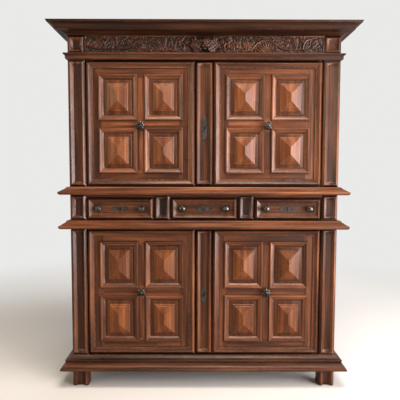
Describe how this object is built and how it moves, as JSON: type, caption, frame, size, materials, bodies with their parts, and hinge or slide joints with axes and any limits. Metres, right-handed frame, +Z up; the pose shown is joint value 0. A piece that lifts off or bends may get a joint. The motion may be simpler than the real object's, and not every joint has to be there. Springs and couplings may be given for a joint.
{
  "type": "court cupboard",
  "caption": "Walnut court cupboard with panelled doors above and below, a row of drawers between, moulded ledges, a carved frieze and a projecting cornice.",
  "frame": {"origin": "middle of the overall plan, on the floor", "axes": "+Z up, +X to the right of someone who faces the doors, the doors face -Y"},
  "size_m": [1.816, 0.649, 2.19],
  "materials": {
    "walnut": "waxed",
    "panel_walnut": "waxed",
    "plain_boards": "matt",
    "iron": "worn"
  },
  "bodies": {
    "cabinet": {"lower_post_front_left": "walnut", "lower_post_front_right": "walnut", "lower_front_rails": "walnut", "lower_side_left": "walnut", "lower_side_right": "walnut", "lower_back_boards": "plain_boards", "lower_floor": "plain_boards", "lower_shelf": "plain_boards", "dust_board": "plain_boards", "drawer_runners": "plain_boards", "drawer_dividers": "walnut", "plinth_base": "walnut", "plinth_cap": "walnut", "belt_moulding": "walnut", "table_top": "walnut", "upper_post_front_left": "walnut", "upper_post_front_right": "walnut", "upper_side_left": "walnut", "upper_side_right": "walnut", "upper_back_boards": "plain_boards", "upper_floor": "plain_boards", "upper_shelf": "plain_boards", "frieze_board": "walnut", "frieze_moulding": "walnut", "cornice": "walnut", "top_board": "plain_boards", "pivot_pins": "iron"},
    "upper_left_door": {"upper_left_door_frame": "walnut", "upper_left_door_panels": "panel_walnut", "upper_left_door_knob": "iron"},
    "upper_right_door": {"upper_right_door_frame": "walnut", "upper_right_door_panels": "panel_walnut", "upper_right_door_knob": "iron", "upper_pilaster": "walnut", "upper_lock": "iron"},
    "upper_lock_bolt": {"upper_lock_bolt": "iron"},
    "lower_left_door": {"lower_left_door_frame": "walnut", "lower_left_door_panels": "panel_walnut", "lower_left_door_knob": "iron"},
    "lower_right_door": {"lower_right_door_frame": "walnut", "lower_right_door_panels": "panel_walnut", "lower_right_door_knob": "iron", "lower_pilaster": "walnut", "lower_lock": "iron"},
    "lower_lock_bolt": {"lower_lock_bolt": "iron"},
    "drawer_left": {"drawer_left_front": "walnut", "drawer_left_box": "plain_boards", "drawer_left_knobs": "iron", "drawer_left_lock": "iron"},
    "drawer_left_bolt": {"drawer_left_bolt": "iron"},
    "drawer_centre": {"drawer_centre_front": "walnut", "drawer_centre_box": "plain_boards", "drawer_centre_knobs": "iron", "drawer_centre_lock": "iron"},
    "drawer_centre_bolt": {"drawer_centre_bolt": "iron"},
    "drawer_right": {"drawer_right_front": "walnut", "drawer_right_box": "plain_boards", "drawer_right_knobs": "iron", "drawer_right_lock": "iron"},
    "drawer_right_bolt": {"drawer_right_bolt": "iron"}
  },
  "joints": [
    {"name": "upper_left_door_hinge", "type": "hinge", "parent": "cabinet", "child": "upper_left_door", "pos_m": [-0.682, -0.2055, 1.6095], "axis": [0, 0, -1], "range_deg": [0, 105]},
    {"name": "upper_right_door_hinge", "type": "hinge", "parent": "cabinet", "child": "upper_right_door", "pos_m": [0.682, -0.2055, 1.6095], "axis": [0, 0, 1], "range_deg": [0, 105]},
    {"name": "lower_left_door_hinge", "type": "hinge", "parent": "cabinet", "child": "lower_left_door", "pos_m": [-0.683, -0.2115, 0.589], "axis": [0, 0, -1], "range_deg": [0, 105]},
    {"name": "lower_right_door_hinge", "type": "hinge", "parent": "cabinet", "child": "lower_right_door", "pos_m": [0.683, -0.2115, 0.589], "axis": [0, 0, 1], "range_deg": [0, 105]},
    {"name": "drawer_left_slide", "type": "slide", "parent": "cabinet", "child": "drawer_left", "axis": [0, -1, 0], "range_m": [0, 0.36]},
    {"name": "drawer_centre_slide", "type": "slide", "parent": "cabinet", "child": "drawer_centre", "axis": [0, -1, 0], "range_m": [0, 0.36]},
    {"name": "drawer_right_slide", "type": "slide", "parent": "cabinet", "child": "drawer_right", "axis": [0, -1, 0], "range_m": [0, 0.36]},
    {"name": "upper_lock_bolt_slide", "type": "slide", "parent": "upper_right_door", "child": "upper_lock_bolt", "axis": [-1, 0, 0], "range_m": [0, 0.012]},
    {"name": "lower_lock_bolt_slide", "type": "slide", "parent": "lower_right_door", "child": "lower_lock_bolt", "axis": [-1, 0, 0], "range_m": [0, 0.012]},
    {"name": "drawer_left_bolt_slide", "type": "slide", "parent": "drawer_left", "child": "drawer_left_bolt", "axis": [0, 0, 1], "range_m": [0, 0.01]},
    {"name": "drawer_centre_bolt_slide", "type": "slide", "parent": "drawer_centre", "child": "drawer_centre_bolt", "axis": [0, 0, 1], "range_m": [0, 0.01]},
    {"name": "drawer_right_bolt_slide", "type": "slide", "parent": "drawer_right", "child": "drawer_right_bolt", "axis": [0, 0, 1], "range_m": [0, 0.01]}
  ]
}
